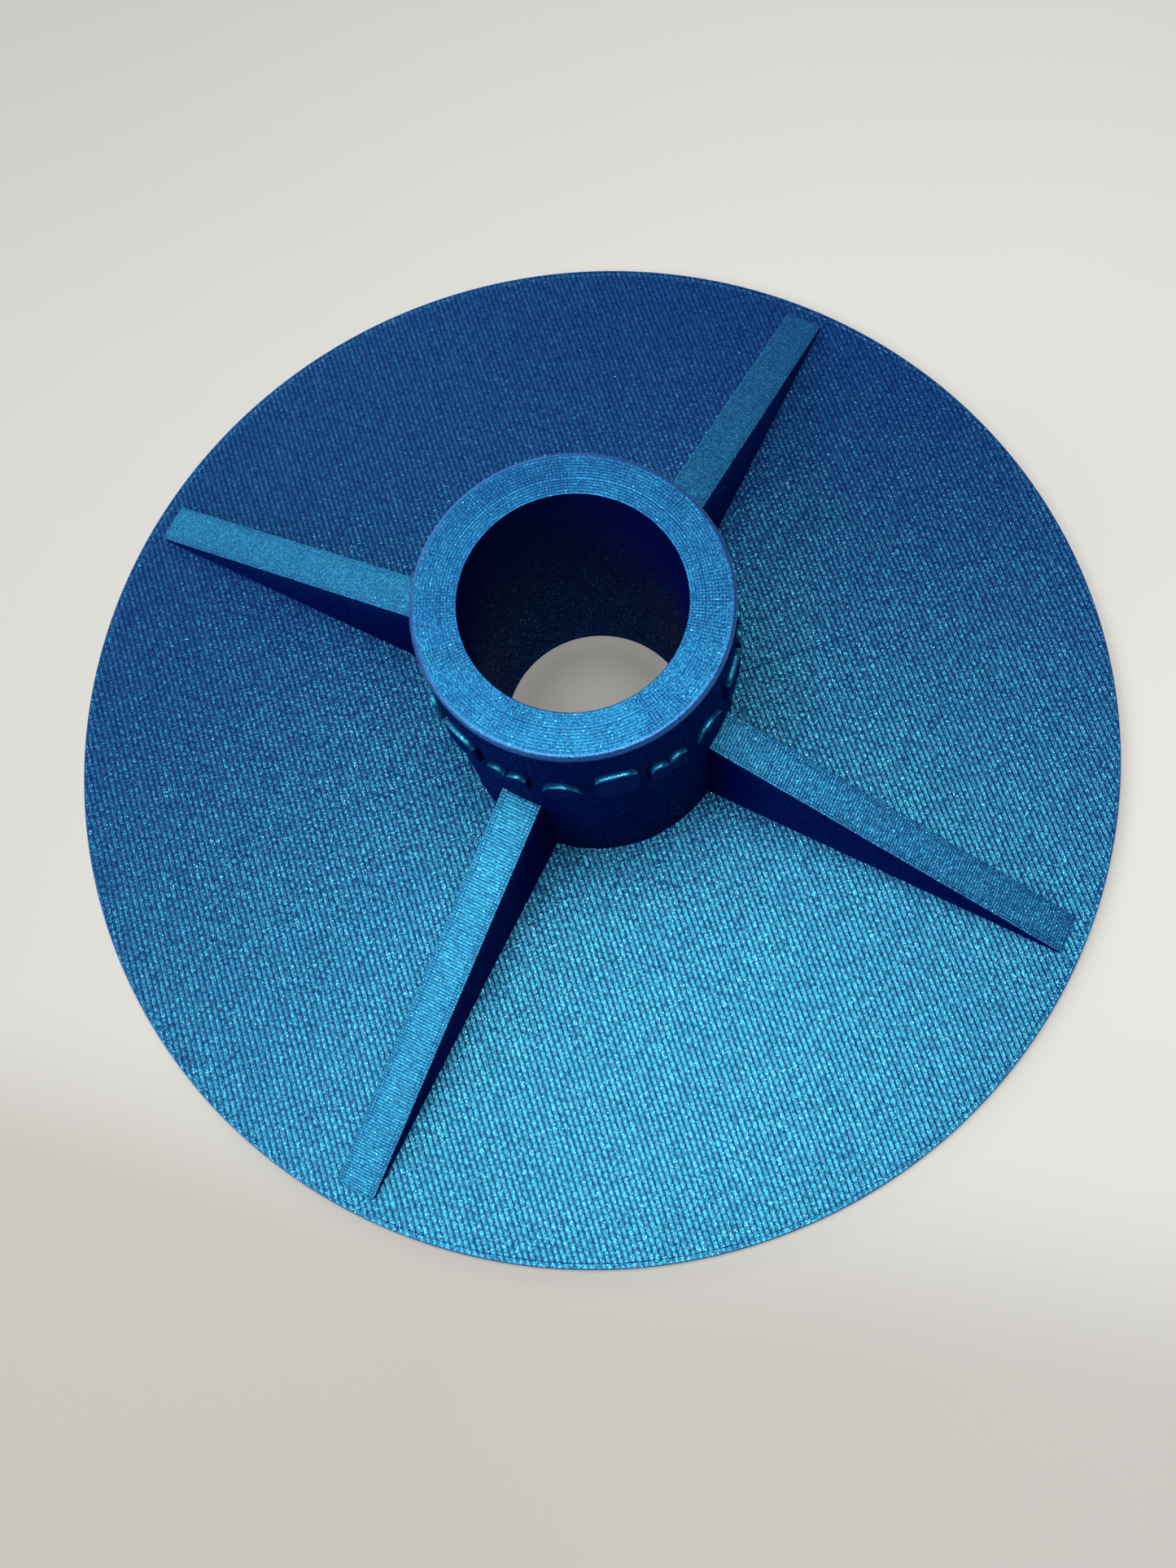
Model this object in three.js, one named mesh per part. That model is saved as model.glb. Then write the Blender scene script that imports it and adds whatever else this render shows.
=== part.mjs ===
// Ribbed hub stand: a thin round disc, an open tube standing on its middle, tapering ribs that
// brace the tube to the disc, and a band of raised marks round the tube.
// Millimetres, +Z up. The origin is the centre of the disc's bottom face. The ribs lie on X and Y.
import * as THREE from 'three';

// Disc and tube
const discRadius = 75;
const discThickness = 1.6;
const boreRadius = 13.5;
const hubRadius = 19.05;
const hubHeight = 47.5;
const roundSegments = 120;

// Ribs
const ribCount = 4;
const ribWidth = 5.6;
const ribOuterRadius = 72.4;
const ribRiseAtHub = 22.4;
const ribRiseAtTip = 0.75;

// Raised marks
const markCycles = 6;
const markRelief = 0.8;
const markBaseBelowHubTop = 15.5;
const tallMarkHeight = 7.6;
const lowMarkHeight = 4.8;
const markWidth = 5.2;
const markCornerRadius = 1.5;
const arcSegments = 4;

// Room left between a region and the curved wall that it meets
const wallGap = 0.3;

const plasticLook = { roughness: 0.42, metalness: 0.35 };
const discColour = 0x1f6fa8;
const hubColour = 0x2c7fc0;
const ribColour = 0x2a86bd;
const markColour = 0x1c93b8;

function plasticMesh(name, geometry, colour) {
  const material = new THREE.MeshStandardMaterial({ color: colour, ...plasticLook });
  const mesh = new THREE.Mesh(geometry, material);
  mesh.name = name;
  return mesh;
}

// A flat-ended ring about Z, standing on z = 0.
function ringGeometry(innerRadius, outerRadius, height) {
  const profile = [
    new THREE.Vector2(innerRadius, 0),
    new THREE.Vector2(outerRadius, 0),
    new THREE.Vector2(outerRadius, height),
    new THREE.Vector2(innerRadius, height),
    new THREE.Vector2(innerRadius, 0),
  ];
  return new THREE.LatheGeometry(profile, roundSegments).rotateX(Math.PI / 2);
}

function baseDisc() {
  return plasticMesh('base_disc', ringGeometry(boreRadius, discRadius, discThickness), discColour);
}

function hubTube() {
  const mesh = plasticMesh('hub_tube', ringGeometry(boreRadius, hubRadius, hubHeight), hubColour);
  mesh.position.z = discThickness;
  return mesh;
}

// One rib along +X: tall at the tube, nearly flat at its outer end.
function rib(name) {
  const innerRadius = hubRadius + wallGap;
  const side = new THREE.Shape();
  side.moveTo(innerRadius, 0);
  side.lineTo(ribOuterRadius, 0);
  side.lineTo(ribOuterRadius, ribRiseAtTip);
  side.lineTo(innerRadius, ribRiseAtHub);
  side.closePath();
  const geometry = new THREE.ExtrudeGeometry(side, { depth: ribWidth, bevelEnabled: false });
  geometry.translate(0, 0, -ribWidth / 2).rotateX(Math.PI / 2);
  const mesh = plasticMesh(name, geometry, ribColour);
  mesh.position.z = discThickness;
  return mesh;
}

// Mark outlines: x runs round the tube, y runs up from the band's base line.
function tallMarkOutline() {
  const half = markWidth / 2;
  const r = markCornerRadius;
  const outline = new THREE.Shape();
  outline.absarc(half - r, r, r, -Math.PI / 2, 0);
  outline.absarc(half - r, tallMarkHeight - r, r, 0, Math.PI / 2);
  outline.absarc(r - half, tallMarkHeight - r, r, Math.PI / 2, Math.PI);
  outline.absarc(r - half, r, r, Math.PI, 1.5 * Math.PI);
  return outline;
}

function twinMarkOutline() {
  const lobe = markWidth / 4;
  const outline = new THREE.Shape();
  outline.moveTo(-2 * lobe, 0);
  outline.lineTo(2 * lobe, 0);
  outline.absarc(lobe, lowMarkHeight - lobe, lobe, 0, Math.PI);
  outline.absarc(-lobe, lowMarkHeight - lobe, lobe, 0, Math.PI);
  outline.closePath();
  return outline;
}

function roundMarkOutline() {
  const r = lowMarkHeight / 2;
  const outline = new THREE.Shape();
  outline.absarc(0, r, r, 0, 2 * Math.PI);
  return outline;
}

// One mark on the tube's +X side, facing outwards.
function mark(name, outline) {
  const geometry = new THREE.ExtrudeGeometry(outline, {
    depth: markRelief - wallGap,
    bevelEnabled: false,
    curveSegments: arcSegments,
  });
  geometry.rotateX(Math.PI / 2).rotateZ(Math.PI / 2);
  const mesh = plasticMesh(name, geometry, markColour);
  mesh.position.set(hubRadius + wallGap, 0, discThickness + hubHeight - markBaseBelowHubTop);
  return mesh;
}

function turned(mesh, angle) {
  const holder = new THREE.Group();
  holder.rotation.z = angle;
  holder.add(mesh);
  return holder;
}

const markKinds = [
  { name: 'tall', outline: tallMarkOutline },
  { name: 'twin', outline: twinMarkOutline },
  { name: 'round', outline: roundMarkOutline },
];

const stand = new THREE.Group();
stand.add(baseDisc(), hubTube());

for (let i = 0; i < ribCount; i += 1) {
  stand.add(turned(rib(`rib_${i + 1}`), (2 * Math.PI * i) / ribCount));
}

const markCount = markCycles * markKinds.length;
for (let i = 0; i < markCount; i += 1) {
  const kind = markKinds[i % markKinds.length];
  const angle = (2 * Math.PI * (i + 0.5)) / markCount;
  stand.add(turned(mark(`mark_${i + 1}_${kind.name}`, kind.outline()), angle));
}

export default stand;
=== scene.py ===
import math

import bpy
import numpy as np
from mathutils import Euler, Matrix, Vector


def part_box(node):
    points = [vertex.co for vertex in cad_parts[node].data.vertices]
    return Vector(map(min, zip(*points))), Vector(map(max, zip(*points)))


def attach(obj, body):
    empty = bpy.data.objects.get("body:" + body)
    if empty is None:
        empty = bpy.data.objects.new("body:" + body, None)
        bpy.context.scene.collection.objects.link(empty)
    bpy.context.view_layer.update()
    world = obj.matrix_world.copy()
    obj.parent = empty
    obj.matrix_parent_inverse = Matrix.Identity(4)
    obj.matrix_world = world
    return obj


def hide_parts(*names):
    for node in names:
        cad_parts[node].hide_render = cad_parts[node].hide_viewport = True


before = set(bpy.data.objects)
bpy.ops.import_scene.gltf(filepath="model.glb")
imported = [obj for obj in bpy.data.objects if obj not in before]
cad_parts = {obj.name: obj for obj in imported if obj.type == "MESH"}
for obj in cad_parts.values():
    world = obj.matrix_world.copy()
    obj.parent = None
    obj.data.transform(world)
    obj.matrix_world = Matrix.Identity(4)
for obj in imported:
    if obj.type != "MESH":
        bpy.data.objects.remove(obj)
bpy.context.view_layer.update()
mm = 0.001

# sizes of the CAD part that the fine pieces are built on
_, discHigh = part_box("base_disc")
_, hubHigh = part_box("hub_tube")
ribLow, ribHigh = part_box("rib_1")
discRadius = discHigh.x
discTop = discHigh.z
hubRadius = hubHigh.x
hubTop = hubHigh.z
boreRadius = min(math.hypot(v.co.x, v.co.y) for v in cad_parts["hub_tube"].data.vertices)
tipReach = ribHigh.x - 0.1 * mm
ribTipTop = max(v.co.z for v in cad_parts["rib_1"].data.vertices if v.co.x > tipReach)
print("frame loaded, disc", round(discRadius / mm, 2), "tube", round(hubRadius / mm, 2))

printing = {
    "layer": 0.16 * mm,
    "pitch": 0.387 * mm,  # from one bead to the next
    "grooveDepth": 0.022 * mm,  # between two layers of a wall
    "topAngle": 135.0,  # way the beads run on the disc's top, in degrees from +X
    "bottomAngle": 45.0,
}


# node trees
class Wire:
    def __init__(self, maker, socket):
        self.maker = maker
        self.socket = socket

    def __add__(self, other):
        return self.maker.maths("ADD", self, other)

    def __radd__(self, other):
        return self.maker.maths("ADD", other, self)

    def __sub__(self, other):
        return self.maker.maths("SUBTRACT", self, other)

    def __rsub__(self, other):
        return self.maker.maths("SUBTRACT", other, self)

    def __mul__(self, other):
        return self.maker.maths("MULTIPLY", self, other)

    def __rmul__(self, other):
        return self.maker.maths("MULTIPLY", other, self)

    def __truediv__(self, other):
        return self.maker.maths("DIVIDE", self, other)

    def __pow__(self, other):
        return self.maker.maths("POWER", self, other)

    def sine(self):
        return self.maker.maths("SINE", self)

    def root(self):
        return self.maker.maths("SQRT", self)

    def most(self, other):
        return self.maker.maths("MAXIMUM", self, other)

    def modulo(self, other):
        return self.maker.maths("MODULO", self, other)

    def floor(self):
        return self.maker.maths("FLOOR", self)

    def size(self):
        return self.maker.maths("ABSOLUTE", self)


class TreeMaker:
    def __init__(self, tree):
        self.tree = tree

    def put(self, kind, settings=None, inputs=None, out=0):
        node = self.tree.nodes.new(kind)
        for key, value in (settings or {}).items():
            setattr(node, key, value)
        for key, value in (inputs or {}).items():
            if isinstance(value, Wire):
                self.tree.links.new(value.socket, node.inputs[key])
            else:
                node.inputs[key].default_value = value
        return Wire(self, node.outputs[out]) if len(node.outputs) else node

    def maths(self, operation, first, second=None):
        inputs = {0: first} if second is None else {0: first, 1: second}
        return self.put("ShaderNodeMath", {"operation": operation}, inputs)

    def mixColour(self, share, first, second):
        node = self.tree.nodes.new("ShaderNodeMix")
        node.data_type = "RGBA"
        for socket, value in ((node.inputs[0], share), (node.inputs[6], first), (node.inputs[7], second)):
            if isinstance(value, Wire):
                self.tree.links.new(value.socket, socket)
            else:
                socket.default_value = value
        return Wire(self, node.outputs[2])

    def split(self, vector):
        first = self.put("ShaderNodeSeparateXYZ", inputs={0: vector})
        return [Wire(self, first.socket.node.outputs[i]) for i in range(3)]

    def noise(self, place, scale, detail):
        return self.put("ShaderNodeTexNoise", {}, {"Vector": place, "Scale": scale, "Detail": detail})

    # Rises smoothly from toLow to toHigh as the value goes from low to high.
    def between(self, value, low, high, toLow=0.0, toHigh=1.0):
        inputs = {"Value": value, 1: low, 2: high, 3: toLow, 4: toHigh}
        return self.put("ShaderNodeMapRange", {"interpolation_type": "SMOOTHSTEP"}, inputs)


# The glittery printed plastic: a blue body with a layer of teal flakes in it
plastic = {
    "flakesPerMetre": 8000.0,
    "grainPerMetre": 3400.0,
    "grainDepth": 0.003 * mm,
    "cloudPerMetre": 260.0,
    # in a pattern's grooves, gaps and step ends this dark is painted shade
    "grooveBody": 0.40,  # how much of the body's colour is left in the dark of a pattern
    "flakeSpread": 0.60,  # how much the flakes differ in strength
    "roughBody": 0.60,
    "sparkleFade": 0.015,  # share of the flakes that are on their way to being sparkles
    "sparkle": (0.110, 0.640, 0.820, 1.0),
    "sparkleRough": 0.26,
    "sparkleShine": 0.60,
}


def plasticMaterial(name, skin, pattern=None):
    material = bpy.data.materials.new(name)
    material.use_nodes = True
    tree = material.node_tree
    tree.nodes.clear()
    make = TreeMaker(tree)
    place = make.put("ShaderNodeTexCoord", out=3)

    # flakes: each cell has its own tilt and strength, and a few of them sparkle
    cells = make.put("ShaderNodeTexVoronoi", {},
                     {"Vector": place, "Scale": plastic["flakesPerMetre"]}, out=1)
    chance = make.split(cells)[2]
    leastSparkle = 1.0 - skin["sparkleShare"]
    sparkle = make.between(chance, leastSparkle - plastic["sparkleFade"], leastSparkle)
    cloud = make.noise(place, plastic["cloudPerMetre"], 2.0)
    shine = (1.0 - cloud * skin["cloud"]) * (1.0 + (chance - 0.5) * plastic["flakeSpread"])

    # grain: a fine unevenness of the skin
    height = make.noise(place, plastic["grainPerMetre"], 2.0) * plastic["grainDepth"]
    bodyColour = skin["body"]
    # A pattern's shine darkens the body's colour and thins the flakes: painted shade in its grooves, gaps
    # and step ends.
    if pattern is not None:
        patternHeight, patternShine = pattern(make, place)
        height = height + patternHeight
        shine = shine * patternShine
        dark = tuple(c * plastic["grooveBody"] for c in skin["body"][:3]) + (1.0,)
        bodyColour = make.mixColour(patternShine, dark, skin["body"])

    bump = make.put("ShaderNodeBump", {}, {"Strength": 1.0, "Distance": 1.0, "Height": height})
    sway = make.put("ShaderNodeVectorMath", {"operation": "SUBTRACT"}, {0: cells, 1: (0.5, 0.5, 0.5)})
    sway = make.put("ShaderNodeVectorMath", {"operation": "SCALE"}, {0: sway, "Scale": skin["tilt"]})
    normal = make.put("ShaderNodeVectorMath", {"operation": "ADD"}, {0: bump, 1: sway})
    normal = make.put("ShaderNodeVectorMath", {"operation": "NORMALIZE"}, {0: normal})

    body = make.put("ShaderNodeBsdfPrincipled", {},
                    {"Base Color": bodyColour, "Roughness": plastic["roughBody"], "Normal": bump,
                     "Specular IOR Level": skin["specular"]})
    colour = make.mixColour(sparkle, skin["flake"], plastic["sparkle"])
    roughness = skin["roughFlake"] - sparkle * (skin["roughFlake"] - plastic["sparkleRough"])
    flakes = make.put("ShaderNodeBsdfPrincipled", {},
                      {"Base Color": colour, "Roughness": roughness, "Metallic": 1.0, "Normal": normal})
    share = (shine * skin["share"]).most(sparkle * plastic["sparkleShine"])
    both = make.put("ShaderNodeMixShader", {}, {0: share, 1: body, 2: flakes})
    make.put("ShaderNodeOutputMaterial", {}, {"Surface": both})
    return material


# the upright sides, which show mostly the blue body; that body is also darker than on the tops, a painted
# shade
shadedWallSkin = {"body": (0.001, 0.003, 0.110, 1.0), "flake": (0.003, 0.150, 0.330, 1.0), "share": 0.15,
            "tilt": 0.30, "roughFlake": 0.42, "sparkleShare": 0.006, "specular": 0.0, "cloud": 0.4}
# the outermost corner of the disc and of the tube, a little smoother than the rest and a lighter blue, a
# painted highlight on the rounded corner
edgeHighlightSkin = {"body": (0.012, 0.040, 0.300, 1.0), "flake": (0.080, 0.330, 0.640, 1.0), "share": 0.62,
            "tilt": 0.20, "roughFlake": 0.44, "sparkleShare": 0.004, "specular": 0.04, "cloud": 0.3}
shadedWallPlastic = plasticMaterial("shaded_wall_plastic", shadedWallSkin)
edgeHighlightPlastic = plasticMaterial("edge_highlight_plastic", edgeHighlightSkin)
print("common materials made")


# mesh helpers
facingUp = 0.5  # a face is on top of a piece when its normal rises more than this


def meshPiece(name, vertices, faces, material):
    mesh = bpy.data.meshes.new(name)
    mesh.from_pydata([tuple(v) for v in vertices], [], faces)
    mesh.validate()
    mesh.shade_smooth()
    mesh.materials.append(material)
    piece = bpy.data.objects.new(name, mesh)
    bpy.context.scene.collection.objects.link(piece)
    return piece


# Faces whose normals rise more than the least given take the first skin, and the rest take the second.
def skinByFacing(piece, topSkin, sideSkin, least):
    mesh = piece.data
    mesh.materials.clear()
    mesh.materials.append(topSkin)
    mesh.materials.append(sideSkin)
    for face in mesh.polygons:
        face.material_index = 0 if face.normal.z > least else 1


# The outer corner of a turned body, beyond one radius and over one height, takes the edge's skin with its
# painted highlight.
def edgeRing(piece, radius, height):
    piece.data.materials.append(edgeHighlightPlastic)
    for face in piece.data.polygons:
        reach = math.hypot(face.center.x, face.center.y)
        if reach > radius and face.center.z > height:
            face.material_index = 2


def finishPiece(piece, nodes):
    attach(piece, "root")
    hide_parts(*nodes)
    return piece


# Joins rings that hold the same number of points into one skin; each ring closes on itself.
def bridgeRings(ringCount, ringSize, closed):
    faces = []
    last = ringCount if closed else ringCount - 1
    for i in range(last):
        a = i * ringSize
        b = (i + 1) % ringCount * ringSize
        for j in range(ringSize):
            k = (j + 1) % ringSize
            faces.append((a + j, a + k, b + k, b + j))
    return faces


# Turns a closed profile of (radius, height) round Z. It runs anticlockwise, seen with radius to the right.
def lathePiece(name, profile, segments, material):
    turns = np.linspace(0, 2 * math.pi, segments, endpoint=False)
    rings = [np.stack([r * np.cos(turns), r * np.sin(turns), np.full(segments, z)], 1) for r, z in profile]
    faces = bridgeRings(len(profile), segments, True)
    return meshPiece(name, np.concatenate(rings), faces, material)


# Points up a printed wall: a groove between layers and a crest in the middle of each.
def wallPoints(radius, outward, low, high):
    layers = round((high - low) / printing["layer"])
    step = (high - low) / layers
    points = []
    for i in range(layers):
        points.append((radius - outward * printing["grooveDepth"], low + i * step))
        points.append((radius, low + (i + 0.5) * step))
    return points


# Points round the outer top corner of a turned body, from its side to its top.
def roundPoints(radius, top, size, steps=5):
    turns = np.linspace(0, math.pi / 2, steps)
    return [(radius - size + size * math.cos(t), top - size + size * math.sin(t)) for t in turns]


# Points over the top of loops laid side by side, from one radius inwards to another. The groove
# before the deep loop, where there is one, is three times as deep.
def loopPoints(outer, inner, top, depth, deepLoop=None):
    loops = round((outer - inner) / printing["pitch"])
    step = (outer - inner) / loops
    points = []
    for i in range(loops):
        r = outer - i * step
        edge = 3 * depth if i == deepLoop else depth
        points += [(r, top - edge), (r - 0.2 * step, top - 0.25 * depth), (r - 0.5 * step, top),
                   (r - 0.8 * step, top - 0.25 * depth)]
    points.append((inner, top - depth))
    return points


# disc: a closed body with its rim's layers and loops, and beads over its top and underside
disc = {
    "segments": 240,
    "rimLoops": 2,
    "rimLoopDepth": 0.018 * mm,
    "rimRound": 0.16 * mm,
    "beadWidth": 0.430 * mm,
    "beadHeight": 0.060 * mm,
    "pairDrop": 0.004 * mm,
    "pairShift": 0.040 * mm,  # how far every second bead leans on its neighbour
    "plateSink": 0.042 * mm,  # plate's top, under the crests of the beads
    "unevenDrop": 0.005 * mm,
    "seed": 7,
    "beadSides": 14,
    "endRingPush": 1.988,  # takes the rings at a third of a bead's length to just short of its ends
    "bottomBeadHeight": 0.044 * mm,
    "bottomLift": 0.005 * mm,
    "bottomBoreGap": 0.3 * mm,  # from the bore to the ends of the underside's beads
    "hiddenRadius": 16.5 * mm,  # the beads end here, under the tube
    "fieldOverlap": 0.04 * mm,  # how far the beads run into the rim's loops
    "boreBack": 0.10 * mm,  # how far the plate's two flat sides stand back from the bore
    "footBack": 0.12 * mm,  # how far the underside stands back from the rim
    "rimStep": 0.02 * mm,
    "boreTopDrop": 0.05 * mm,
    "skin": {"body": (0.004, 0.012, 0.265, 1.0), "flake": (0.054, 0.400, 0.560, 1.0), "share": 0.72,
             "tilt": 0.28, "roughFlake": 0.32, "sparkleShare": 0.02, "specular": 0.04, "cloud": 0.20},
}
beadFieldRadius = discRadius - disc["rimLoops"] * printing["pitch"] + disc["fieldOverlap"]
beadCount = int(2 * beadFieldRadius / printing["pitch"])

# How the beads look: each pair is a row of bright dashes on a darker ground, with a faint groove in it. The
# darker ground, the groove and the gaps between dashes are painted shade.
beadLook = {
    "crestHalf": 0.03 * mm,  # the bright dash fades from here
    "groundHalf": 0.25 * mm,  # to here
    "groundDark": 0.62,
    "narrowHalf": 0.09 * mm,
    "narrowDark": 0.25,
    "grooveDepth": 0.012 * mm,
    "dashLength": 1.10 * mm,
    "dashShift": 0.5,  # from one row to the next, in dashes
    "dashWander": 0.9,
    "gapRange": (0.45, 0.90),  # of a dash's sine, over which the gap darkens
    "gapDark": 0.40,
    "stretchesPerMetre": 1300.0,
    "stretchRange": (0.38, 0.62),
    "stretchDepth": 0.010 * mm,
    "stretchDark": 0.24,
    "indexStep": 7.3,  # keeps the stretches of neighbouring pairs apart
}


# Soft noise along the beads, with its own row for each pair.
def stretches(make, along, row):
    grid = make.put("ShaderNodeCombineXYZ", {}, {0: along * beadLook["stretchesPerMetre"], 1: row})
    return make.put("ShaderNodeTexNoise", {"noise_dimensions": "2D"},
                    {"Vector": grid, "Scale": 1.0, "Detail": 1.0})


def beadPattern(angle):
    def pattern(make, place):
        x, y, _ = make.split(place)
        turn = math.radians(angle)
        pitch = printing["pitch"]
        along = x * math.cos(turn) + y * math.sin(turn)
        across = y * math.cos(turn) - x * math.sin(turn)
        bead = (across - (1 - beadCount) * pitch / 2) / pitch
        pair = bead * 0.5
        share = pair - pair.floor()
        lean = disc["pairShift"] / (4 * pitch)

        # across the beads: the pair's crest, the ground on both sides and the faint groove
        fromCrest = (share - (0.25 - lean)).size() * (2 * pitch)
        ground = make.between(fromCrest, beadLook["crestHalf"], beadLook["groundHalf"])
        narrow = make.between(fromCrest, 0.0, beadLook["narrowHalf"], 1.0, 0.0)

        # along the beads: dashes that shift from row to row, and softer stretches
        row = (pair + 0.25 + lean).floor()
        noise = stretches(make, along, row * beadLook["indexStep"])
        dash = along / beadLook["dashLength"] + row * beadLook["dashShift"] + noise * beadLook["dashWander"]
        gap = make.between((dash * (2 * math.pi)).sine(), *beadLook["gapRange"])
        stretch = make.between(noise, *beadLook["stretchRange"])
        height = stretch * beadLook["stretchDepth"] - (ground + gap * 0.5) * beadLook["grooveDepth"]
        # the shine is painted shade on the ground, in the groove and in the gaps, with an uneven dimming
        # along the stretches
        shine = (1.0 - ground * beadLook["groundDark"]) * (1.0 - narrow * beadLook["narrowDark"])
        return height, shine * (1.0 - stretch * beadLook["stretchDark"]) * (1.0 - gap * beadLook["gapDark"])
    return pattern


topPlastic = plasticMaterial("disc_top_plastic", disc["skin"], beadPattern(printing["topAngle"]))
bottomPlastic = plasticMaterial("disc_bottom_plastic", disc["skin"], beadPattern(printing["bottomAngle"]))


# Beads that fill a disc: one tree, used for its top and its underside.
def beadFieldTree():
    tree = bpy.data.node_groups.new("bead_field", "GeometryNodeTree")
    tree.interface.new_socket("Geometry", in_out="INPUT", socket_type="NodeSocketGeometry")
    for name, kind in (("Bead Count", "Int"), ("Bead Pitch", "Float"), ("Bead Width", "Float"),
                       ("Bead Height", "Float"), ("Outer Radius", "Float"), ("Inner Radius", "Float"),
                       ("Centre Height", "Float"), ("Pair Drop", "Float"), ("Pair Shift", "Float"),
                       ("Angle", "Float"), ("Skin", "Material")):
        tree.interface.new_socket(name, in_out="INPUT", socket_type="NodeSocket" + kind)
    tree.interface.new_socket("Geometry", in_out="OUTPUT", socket_type="NodeSocketGeometry")
    make = TreeMaker(tree)
    source = tree.nodes.new("NodeGroupInput")
    given = {s.name: Wire(make, s) for s in source.outputs if s.name}

    combine = "ShaderNodeCombineXYZ"
    startY = (1.0 - given["Bead Count"]) * given["Bead Pitch"] * 0.5
    start = make.put(combine, {}, {1: startY, 2: given["Centre Height"]})
    step = make.put(combine, {}, {1: given["Bead Pitch"]})
    line = make.put("GeometryNodeMeshLine", {"mode": "OFFSET"},
                    {"Count": given["Bead Count"], "Start Location": start, "Offset": step})

    # every second bead is a little lower and leans on its neighbour; a small seeded unevenness
    odd = make.put("GeometryNodeInputIndex").modulo(2.0)
    uneven = make.put("FunctionNodeRandomValue", {"data_type": "FLOAT"},
                      {2: -disc["unevenDrop"], 3: 0.0, "Seed": disc["seed"]}, out=1)
    nudge = make.put(combine, {},
                     {1: odd * given["Pair Shift"] * -1.0, 2: uneven - odd * given["Pair Drop"]})
    line = make.put("GeometryNodeSetPosition", {}, {"Geometry": line, "Offset": nudge})

    _, y, _ = make.split(make.put("GeometryNodeInputPosition"))
    outerHalf = (given["Outer Radius"] ** 2.0 - y * y).most(0.0).root()
    innerHalf = (given["Inner Radius"] ** 2.0 - y * y).most(0.0).root()
    middle = (outerHalf + innerHalf) * 0.5
    right = make.put("GeometryNodeSetPosition", {},
                     {"Geometry": line, "Offset": make.put(combine, {}, {0: middle})})
    left = make.put("GeometryNodeSetPosition", {},
                    {"Geometry": line, "Offset": make.put(combine, {}, {0: middle * -1.0})})
    both = tree.nodes.new("GeometryNodeJoinGeometry")
    tree.links.new(right.socket, both.inputs[0])
    tree.links.new(left.socket, both.inputs[0])

    # two rings close to the ends keep the long sides of a bead evenly shaded
    bead = make.put("GeometryNodeMeshCylinder", {},
                    {"Vertices": disc["beadSides"], "Side Segments": 3, "Radius": 0.5, "Depth": 1.0})
    _, _, height = make.split(make.put("GeometryNodeInputPosition"))
    isInner = make.maths("LESS_THAN", make.maths("ABSOLUTE", height), 0.4)
    push = make.put(combine, {}, {2: height * isInner * disc["endRingPush"]})
    bead = make.put("GeometryNodeSetPosition", {}, {"Geometry": bead, "Offset": push})
    bead = make.put("GeometryNodeTransform", {},
                    {"Geometry": bead, "Rotation": Euler((0.0, math.pi / 2, 0.0))})
    size = make.put(combine, {},
                    {0: outerHalf - innerHalf, 1: given["Bead Width"], 2: given["Bead Height"]})
    field = make.put("GeometryNodeInstanceOnPoints", {},
                     {"Points": Wire(make, both.outputs[0]), "Instance": bead, "Scale": size})
    field = make.put("GeometryNodeRealizeInstances", {}, {"Geometry": field})
    turn = make.put(combine, {}, {2: given["Angle"]})
    field = make.put("GeometryNodeTransform", {}, {"Geometry": field, "Rotation": turn})
    field = make.put("GeometryNodeSetMaterial", {}, {"Geometry": field, "Material": given["Skin"]})
    end = tree.nodes.new("NodeGroupOutput")
    tree.links.new(field.socket, end.inputs[0])
    return tree


def bakeTree(name, tree, values):
    carrier = bpy.data.objects.new(name, bpy.data.meshes.new(name))
    bpy.context.scene.collection.objects.link(carrier)
    modifier = carrier.modifiers.new(name, "NODES")
    modifier.node_group = tree
    sockets = {s.name: s.identifier for s in tree.interface.items_tree if s.in_out == "INPUT"}
    for key, value in values.items():
        modifier[sockets[key]] = value
    bpy.context.view_layer.update()
    evaluated = carrier.evaluated_get(bpy.context.evaluated_depsgraph_get())
    mesh = bpy.data.meshes.new_from_object(evaluated)
    carrier.modifiers.remove(modifier)
    carrier.data = mesh
    mesh.name = name
    mesh.shade_smooth()
    return carrier


def discBody():
    rimInner = discRadius - disc["rimLoops"] * printing["pitch"]
    low = disc["bottomBeadHeight"] / 2
    plate = discTop - disc["plateSink"]
    corner = disc["rimRound"]
    foot = printing["layer"] / 4
    inner = boreRadius + disc["boreBack"]
    profile = [(inner, low), (discRadius - disc["footBack"], low)]
    profile += wallPoints(discRadius, 1, foot, discTop - corner)
    profile += roundPoints(discRadius, discTop, corner)
    profile += loopPoints(discRadius - corner, rimInner, discTop, disc["rimLoopDepth"])[1:]
    profile += [(rimInner - disc["rimStep"], plate), (inner, plate)]
    profile += wallPoints(boreRadius, -1, foot, discTop - disc["boreTopDrop"])[::-1]
    piece = lathePiece("disc_body", profile, disc["segments"], topPlastic)
    skinByFacing(piece, topPlastic, shadedWallPlastic, facingUp)
    edgeRing(piece, discRadius - corner, discTop - 2 * corner)
    return finishPiece(piece, ["base_disc"])


def discBeads(name, tree, angle, height, centre, drop, inner, skin):
    values = {"Bead Count": beadCount, "Bead Pitch": printing["pitch"], "Bead Width": disc["beadWidth"],
              "Bead Height": height, "Outer Radius": beadFieldRadius, "Inner Radius": inner,
              "Centre Height": centre, "Pair Drop": drop, "Pair Shift": disc["pairShift"],
              "Angle": math.radians(angle), "Skin": skin}
    return finishPiece(bakeTree(name, tree, values), ["base_disc"])


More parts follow.
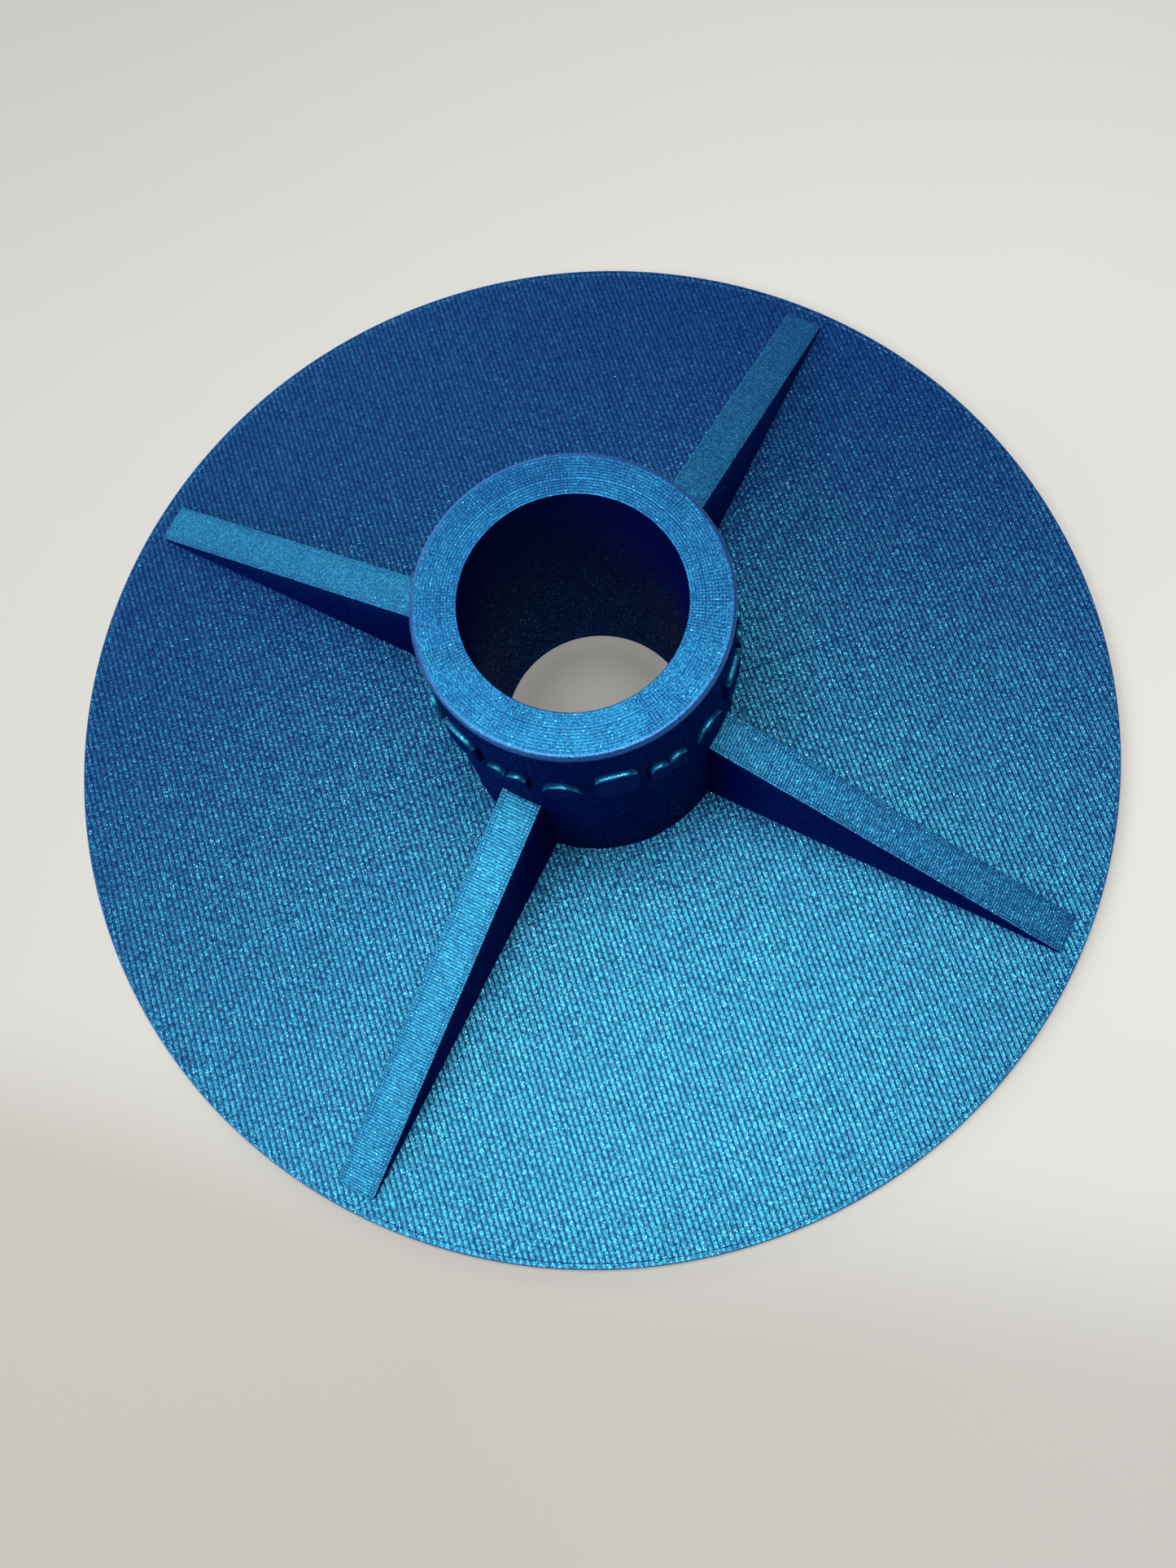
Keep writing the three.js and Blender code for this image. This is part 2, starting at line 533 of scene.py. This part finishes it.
discBody()
fieldTree = beadFieldTree()
discBeads("disc_top_beads", fieldTree, printing["topAngle"], disc["beadHeight"],
          discTop - disc["beadHeight"] / 2, disc["pairDrop"], disc["hiddenRadius"], topPlastic)
discBeads("disc_bottom_beads", fieldTree, printing["bottomAngle"], disc["bottomBeadHeight"],
          disc["bottomBeadHeight"] / 2 + disc["bottomLift"], 0.0, boreRadius + disc["bottomBoreGap"],
          bottomPlastic)
print("disc made")

# tube
hub = {
    "segments": 72,
    "loopDepth": 0.015 * mm,
    "deepLoop": 8,  # a deeper groove where one set of loops meets the next
    "sink": 0.05 * mm,  # how far the tube's foot reaches under the disc's top
    "boreBack": 0.04 * mm,  # how far the ring stands back from the bore's wall
    "topRound": 0.55 * mm,
    "skin": {"body": (0.004, 0.024, 0.240, 1.0), "flake": (0.034, 0.350, 0.600, 1.0), "share": 0.62,
             "tilt": 0.26, "roughFlake": 0.42, "sparkleShare": 0.004, "specular": 0.04, "cloud": 0.55},
}

# Short ticks across the loops of the ring, clearest near the bore, and a groove between loops, darkened
# with painted shade.
ringLook = {
    "ticksRound": 236.0,
    "tickDepth": 0.010 * mm,
    "tickDark": 0.45,
    "patchPerMetre": 160.0,
    "patchRange": (0.40, 0.60),
    "fadeRadius": 17.5 * mm,
    "loopRange": (0.28, 0.48),  # from a loop's middle to its edge, over which its groove darkens
    "loopDark": 0.45,
}


def ringPattern(make, place):
    x, y, _ = make.split(place)
    radius = (x * x + y * y).root()
    ticks = (make.maths("ARCTAN2", y, x) * ringLook["ticksRound"]).sine() * 0.5 + 0.5
    patch = make.between(make.noise(place, ringLook["patchPerMetre"], 1.0), *ringLook["patchRange"])
    ticks = ticks * patch * make.between(radius, ringLook["fadeRadius"], hubRadius, 1.0, 0.0)
    loop = (hubRadius - hub["topRound"] - radius) / printing["pitch"]
    groove = make.between((loop - loop.floor() - 0.5).size(), *ringLook["loopRange"])
    # painted shade in the groove between loops
    shine = (1.0 - ticks * ringLook["tickDark"]) * (1.0 - groove * ringLook["loopDark"])
    return ticks * ringLook["tickDepth"], shine


ringPlastic = plasticMaterial("ring_plastic", hub["skin"], ringPattern)


def hubBody():
    foot = discTop - hub["sink"]
    shoulder = hubTop - hub["topRound"]
    profile = wallPoints(hubRadius, 1, foot, shoulder)
    profile += roundPoints(hubRadius, hubTop, hub["topRound"])
    profile += loopPoints(hubRadius - hub["topRound"], boreRadius + hub["boreBack"], hubTop,
                          hub["loopDepth"], hub["deepLoop"])[1:]
    profile += wallPoints(boreRadius, -1, foot, hubTop - hub["loopDepth"])[::-1]
    piece = lathePiece("hub_body", profile, hub["segments"], ringPlastic)
    skinByFacing(piece, ringPlastic, shadedWallPlastic, facingUp)
    for face in piece.data.polygons:
        if face.center.z < shoulder:
            face.material_index = 1
    edgeRing(piece, hubRadius - hub["topRound"], shoulder - hub["topRound"])
    return finishPiece(piece, ["hub_tube"])


hubBody()
print("tube made")

# ribs: layer on layer, each a step shorter than the one below
rib = {
    "cornerRadius": 0.45 * mm,
    "cornerSteps": 4,
    "sideGroove": 0.020 * mm,
    "sink": 0.40 * mm,  # how far the rib runs into the tube's wall
    "skin": {"body": (0.004, 0.022, 0.240, 1.0), "flake": (0.056, 0.490, 0.780, 1.0),
             "tilt": 0.34, "roughFlake": 0.42, "sparkleShare": 0.008, "specular": 0.04, "cloud": 0.30},
    # The plastic is the same on every rib; each rib's flake share is painted light, so that it looks
    # lighter or darker as the light falls on it.
    "shares": (0.61, 0.90, 0.90, 0.78),  # of flakes on ribs 1 to 4, which catch the light in different ways
    "leastReach": 0.02 * mm,  # no layer is shorter than this
    "foot": 0.002 * mm,  # the foot of a layer, over the step it stands on
    "footBack": 0.010 * mm,  # how far that foot stands back from the layer's belly
    # mm down, and back, from a step's corner
    "edge": ((0.050, 0.010), (0.026, 0.045), (0.011, 0.110), (0.002, 0.240)),
    "edgeReach": 0.08,  # mm down to where the groove in the side ends
}
ribSlope = (ribHigh.z - ribTipTop) / (ribHigh.x - ribLow.x)
ribLayers = round((ribHigh.z - discTop) / printing["layer"])
ribLayer = (ribHigh.z - discTop) / ribLayers

# On a rib's steps two loops run along each long edge, with a groove inside each, darkened with painted
# shade. The inner end of every step lies in the shade of the next one, painted into its colour, and the
# rest is a little uneven.
ribLook = {
    "grooves": (0.40 * mm, 0.79 * mm),  # from the edge
    "grooveHalf": 0.10 * mm,
    "grooveDepth": 0.020 * mm,
    "grooveDark": 0.42,
    "unevenPerMetre": 2600.0,
    "unevenRange": (0.36, 0.64),
    "unevenDark": 0.42,
    "stepRange": (0.45, 0.75),  # of a step, from its corner inwards, over which its shade darkens
    "stepDark": 0.58,
}


def ribPattern(make, place):
    x, y, _ = make.split(place)
    fromEdge = ribHigh.y - make.maths("MINIMUM", x.size(), y.size())
    uneven = make.between(make.noise(place, ribLook["unevenPerMetre"], 2.0), *ribLook["unevenRange"])
    radial = x.size().most(y.size())
    step = ((ribHigh.x - radial) * ribSlope + (ribTipTop - discTop - ribLayer / 2)) / ribLayer
    inner = make.between(step - step.floor(), *ribLook["stepRange"])
    groove = 0.0
    for centre in ribLook["grooves"]:
        groove = make.between((fromEdge - centre).size(), 0.0, ribLook["grooveHalf"], 1.0, 0.0) + groove
    # painted shade in the grooves and at the inner end of every step
    shine = (1.0 - groove * ribLook["grooveDark"]) * (1.0 - uneven * ribLook["unevenDark"])
    shine = shine * (1.0 - inner * ribLook["stepDark"])
    return groove * -ribLook["grooveDepth"], shine


def ribOutline(start, end, half, inset):
    radius = min(rib["cornerRadius"], max(end - start, rib["leastReach"] / 2))
    half = half - inset
    points = [(start, half)]
    for i in range(rib["cornerSteps"] + 1):
        turn = math.pi / 2 * (1 - i / rib["cornerSteps"])
        points.append((end - radius + radius * math.cos(turn), half - radius + radius * math.sin(turn)))
    mirrored = [(x, -y) for x, y in reversed(points)]
    return points + mirrored


def ribVertices():
    half = ribHigh.y
    start = hubRadius - rib["sink"]
    rings = []
    for i in range(ribLayers):
        low = discTop + i * ribLayer
        if i == 0:
            low = discTop - disc["plateSink"]
        high = discTop + (i + 1) * ribLayer
        rise = max(high - ribLayer / 2 - ribTipTop, 0)
        end = max(ribHigh.x - rise / ribSlope, start + rib["leastReach"])
        rows = [(low + rib["foot"], rib["sideGroove"], rib["footBack"]), (low + 0.5 * ribLayer, 0, 0)]
        for down, back in rib["edge"]:
            rows.append((high - down * mm, rib["sideGroove"] * (1 - down / rib["edgeReach"]), back * mm))
        rows.append((high, rib["sideGroove"], ribLayer / ribSlope))
        for z, inset, back in rows:
            nose = max(end - back, start + rib["leastReach"] / 2)
            outline = ribOutline(start, nose, half, inset)
            rings.append([(x, y, z) for x, y in outline])
    return np.array(rings)


def ribPiece(number):
    rings = ribVertices()
    ringCount, ringSize, _ = rings.shape
    turn = Matrix.Rotation(math.pi / 2 * (number - 1), 3, "Z")
    points = [turn @ Vector(p) for p in rings.reshape(-1, 3)]
    faces = [f[::-1] for f in bridgeRings(ringCount, ringSize, False)]
    lastRing = (ringCount - 1) * ringSize
    faces.append(tuple(range(ringSize)))
    faces.append(tuple(lastRing + j for j in reversed(range(ringSize))))
    # the ribs' copies of the plastic differ only in this painted-light flake share
    skin = dict(rib["skin"], share=rib["shares"][number - 1])
    stepPlastic = plasticMaterial(f"rib_{number}_plastic", skin, ribPattern)
    piece = meshPiece(f"rib_{number}_layers", points, faces, stepPlastic)
    skinByFacing(piece, stepPlastic, shadedWallPlastic, facingUp)
    return finishPiece(piece, [f"rib_{number}"])


for number in range(1, 5):
    ribPiece(number)
print("ribs made")

# raised marks: soft-edged reliefs bent round the tube
mark = {
    "arcSteps": 8,
    "cornerRadius": 1.5 * mm,
    "sink": 0.15 * mm,
    "upwards": 0.35,  # faces whose normals rise more than this take the brighter skin
    "rows": ((0.0, 0.0), (0.78, 0.0), (0.94, 0.03), (1.0, 0.10), (1.0, 0.30)),  # shares of relief and inset
    "skin": {"body": (0.004, 0.040, 0.220, 1.0), "flake": (0.030, 0.400, 0.560, 1.0), "share": 0.65,
             "tilt": 0.20, "roughFlake": 0.40, "sparkleShare": 0.04, "specular": 0.04, "cloud": 0.30},
}
markPlastic = plasticMaterial("mark_plastic_skin", mark["skin"])


def arcPoints(x, y, radius, start, end):
    turns = np.linspace(start, end, mark["arcSteps"] + 1)
    return [(x + radius * math.cos(t), y + radius * math.sin(t)) for t in turns]


def markOutline(kind, width, height):
    half = width / 2
    quarter = math.pi / 2
    if kind == "round":
        return arcPoints(0, height / 2, height / 2, 0, 2 * math.pi)[:-1]
    if kind == "twin":
        lobe = width / 4
        return ([(-half, 0), (half, 0)] + arcPoints(lobe, height - lobe, lobe, 0, math.pi)
                + arcPoints(-lobe, height - lobe, lobe, 0, math.pi)[1:])
    r = mark["cornerRadius"]
    return (arcPoints(half - r, r, r, -quarter, 0) + arcPoints(half - r, height - r, r, 0, quarter)
            + arcPoints(r - half, height - r, r, quarter, 2 * quarter)
            + arcPoints(r - half, r, r, 2 * quarter, 3 * quarter))


def markPiece(node):
    kind = node.split("_")[2]
    points = [v.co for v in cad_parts[node].data.vertices]
    middle = sum((Vector((p.x, p.y)) for p in points), Vector((0, 0)))
    azimuth = math.atan2(middle.y, middle.x)
    low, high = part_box(node)
    side = Vector((-math.sin(azimuth), math.cos(azimuth), 0))
    ahead = Vector((math.cos(azimuth), math.sin(azimuth), 0))
    width = max(p.dot(side) for p in points) - min(p.dot(side) for p in points)
    relief = max(p.dot(ahead) for p in points) - hubRadius
    height = high.z - low.z
    outline = markOutline(kind, width, height)
    rings = []
    for share, inset in mark["rows"]:
        radius = hubRadius - mark["sink"] + (relief + mark["sink"]) * share
        for x, y in outline:
            turn = azimuth + x * (1 - inset) / hubRadius
            up = height / 2 + (y - height / 2) * (1 - inset)
            rings.append((radius * math.cos(turn), radius * math.sin(turn), low.z + up))
    size = len(outline)
    faces = bridgeRings(len(mark["rows"]), size, False)
    top = (len(mark["rows"]) - 1) * size
    tip = hubRadius + relief
    rings.append((tip * math.cos(azimuth), tip * math.sin(azimuth), low.z + height / 2))
    faces += [(top + j, top + (j + 1) % size, len(rings) - 1) for j in range(size)]
    faces.append(tuple(reversed(range(size))))
    piece = meshPiece(f"{node}_relief", rings, faces, markPlastic)
    skinByFacing(piece, markPlastic, shadedWallPlastic, mark["upwards"])
    return finishPiece(piece, [node])


for node in sorted(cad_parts):
    if node.startswith("mark_"):
        markPiece(node)
print("marks made")

# floor, camera and light
camera = {
    "azimuth": 30.28,
    "elevation": 72.59,
    "roll": -4.66,
    "distance": 220.7 * mm,
    "panRight": 9.17 * mm,
    "panUp": 2.01 * mm,
    "lens": 34.92,
    "sensor": 36.0,
    "shiftX": -0.0473,
    "shiftY": -0.0498,
    "nearest": 0.01,
    "farthest": 20.0,
}


def viewFrame():
    a = math.radians(camera["azimuth"])
    e = math.radians(camera["elevation"])
    back = Vector((math.sin(a) * math.cos(e), -math.cos(a) * math.cos(e), math.sin(e)))
    right = Vector((0, 0, 1)).cross(back).normalized()
    up = back.cross(right)
    roll = math.radians(camera["roll"])
    turnedRight = right * math.cos(roll) + up * math.sin(roll)
    turnedUp = up * math.cos(roll) - right * math.sin(roll)
    return turnedRight, turnedUp, back


def addCamera():
    right, up, back = viewFrame()
    data = bpy.data.cameras.new("camera")
    data.lens = camera["lens"]
    data.sensor_width = camera["sensor"]
    data.shift_x = camera["shiftX"]
    data.shift_y = camera["shiftY"]
    data.clip_start = camera["nearest"]
    data.clip_end = camera["farthest"]
    holder = bpy.data.objects.new("camera", data)
    target = Vector((0, 0, discTop))
    place = target + back * camera["distance"] + right * camera["panRight"] + up * camera["panUp"]
    turn = Matrix((right, up, back)).transposed().to_4x4()
    holder.matrix_world = Matrix.Translation(place) @ turn
    bpy.context.scene.collection.objects.link(holder)
    bpy.context.scene.camera = holder


# A lamp's place is given as seen from the camera's side: right, away and up, from the object.
# The main one hangs over the object, and the rest stand farther off.
lamps = {
    "overhead": {"place": (0.000, -0.030, 0.52), "size": (0.30, 0.24), "power": 2.05,
                 "colour": (1.0, 0.985, 0.96)},
    "window": {"place": (-0.46, 0.72, 0.40), "size": (0.90, 0.34), "power": 2.8,
               "colour": (0.95, 0.98, 1.0)},
    "leftFront": {"place": (-0.62, -0.28, 0.60), "size": (0.50, 0.40), "power": 2.80,
                  "colour": (0.96, 0.98, 1.0)},
    "right": {"place": (0.80, -0.25, 0.24), "size": (0.40, 0.20), "power": 0.25,
              "colour": (1.0, 1.0, 0.98)},
}


def addLamp(name, values):
    a = math.radians(camera["azimuth"])
    x, y, z = values["place"]
    place = Vector((x * math.cos(a) - y * math.sin(a), x * math.sin(a) + y * math.cos(a), z))
    data = bpy.data.lights.new(name, "AREA")
    data.shape = "RECTANGLE"
    data.size, data.size_y = values["size"]
    data.energy = values["power"]
    data.color = values["colour"]
    holder = bpy.data.objects.new(name, data)
    back = place.normalized()
    wide = Vector((math.cos(a), math.sin(a), 0))
    deep = back.cross(wide).normalized()
    turn = Matrix((deep.cross(back), deep, back)).transposed().to_4x4()
    holder.matrix_world = Matrix.Translation(place) @ turn
    bpy.context.scene.collection.objects.link(holder)


# The floor's colour holds painted light and shade: it is paler to the right, darker towards the back, falls
# off softly towards the front in a painted shadow, and carries painted shade inside the tube.
floorLook = {
    "size": 3.0,
    "drop": 0.03 * mm,
    "light": (0.845, 0.840, 0.800, 1.0),
    "paintedShadeColour": (0.530, 0.515, 0.475, 1.0),
    "frontLine": (-0.229, -0.973),  # towards the front, as seen from the camera's side: right and away
    "frontStart": 50 * mm,
    "frontEnd": 82 * mm,
    "frontShare": 0.60,
    "leftShare": 0.56,
    "leftReach": 130 * mm,
    "backShare": 0.30,
    "backStart": 30 * mm,
    "backEnd": 190 * mm,
    "boreShare": 0.9,  # the shade on the floor inside the tube
    "boreStart": 9 * mm,
    "boreEnd": 15 * mm,
    "cloudPerMetre": 14.0,
    "cloudShare": 0.06,
    "fleckPerMetre": 900.0,
    "fleckDepth": 0.02 * mm,
    "roughness": 0.6,
}


def addFloor():
    half = floorLook["size"] / 2
    corners = [(-half, -half), (half, -half), (half, half), (-half, half)]
    material = bpy.data.materials.new("table_top")
    material.use_nodes = True
    material.node_tree.nodes.clear()
    make = TreeMaker(material.node_tree)
    place = make.put("ShaderNodeTexCoord", out=3)
    x, y, _ = make.split(place)
    a = math.radians(camera["azimuth"])
    right = x * math.cos(a) + y * math.sin(a)
    away = y * math.cos(a) - x * math.sin(a)
    alongRight, alongAway = floorLook["frontLine"]
    ahead = right * alongRight + away * alongAway
    front = make.between(ahead, floorLook["frontStart"], floorLook["frontEnd"],
                         0.0, floorLook["frontShare"])
    leftReach = floorLook["leftReach"]
    left = make.between(right, -leftReach, leftReach, floorLook["leftShare"], 0.0)
    back = make.between(away, floorLook["backStart"], floorLook["backEnd"], 0.0, floorLook["backShare"])
    cloud = make.noise(place, floorLook["cloudPerMetre"], 3.0)
    fleck = make.noise(place, floorLook["fleckPerMetre"], 2.0)
    inside = make.between((x * x + y * y).root(), floorLook["boreStart"], floorLook["boreEnd"],
                          floorLook["boreShare"], 0.0)
    # painted shadow to the front, painted shade to the left, to the back and inside the tube, and a faint
    # cloud of tone
    share = front + left + back + inside + cloud * floorLook["cloudShare"]
    colour = make.mixColour(share, floorLook["light"], floorLook["paintedShadeColour"])
    bump = make.put("ShaderNodeBump", {},
                    {"Strength": 0.3, "Distance": floorLook["fleckDepth"], "Height": fleck})
    shader = make.put("ShaderNodeBsdfPrincipled", {},
                      {"Base Color": colour, "Roughness": floorLook["roughness"], "Normal": bump})
    make.put("ShaderNodeOutputMaterial", {}, {"Surface": shader})
    floor = meshPiece("floor", [(x, y, -floorLook["drop"]) for x, y in corners], [(0, 1, 2, 3)], material)


room = {"strength": 0.03, "colour": (0.95, 0.97, 1.0, 1.0)}


def addWorld():
    world = bpy.data.worlds.new("room")
    world.use_nodes = True
    background = world.node_tree.nodes["Background"]
    background.inputs["Color"].default_value = room["colour"]
    background.inputs["Strength"].default_value = room["strength"]
    bpy.context.scene.world = world


addFloor()
addCamera()
for name, values in lamps.items():
    addLamp(name, values)
addWorld()
bpy.context.scene.view_settings.view_transform = "Standard"
print("stage made")
